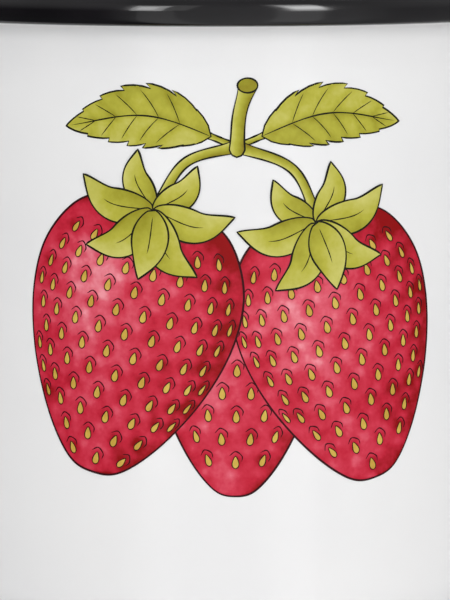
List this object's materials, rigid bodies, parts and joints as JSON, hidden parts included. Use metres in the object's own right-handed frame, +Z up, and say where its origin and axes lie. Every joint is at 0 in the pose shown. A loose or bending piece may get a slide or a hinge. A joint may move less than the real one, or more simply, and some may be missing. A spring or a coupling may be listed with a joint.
{
  "type": "enamel mug",
  "caption": "Straight enamelled steel drinking mug with a rolled black rim and a welded strap handle.",
  "frame": {"origin": "middle of the whole mug's footprint, handle included, on the surface it stands on", "axes": "+X from the cup towards the handle, +Y across the mug to the back, +Z up"},
  "size_m": [0.1112, 0.0864, 0.08],
  "materials": {
    "white_enamel": "glossy vitreous enamel, very slightly wavy",
    "black_enamel": "glossy vitreous enamel"
  },
  "bodies": {
    "root": {"cup": "white_enamel", "handle": "white_enamel", "rolled_rim": "black_enamel"}
  },
  "joints": []
}
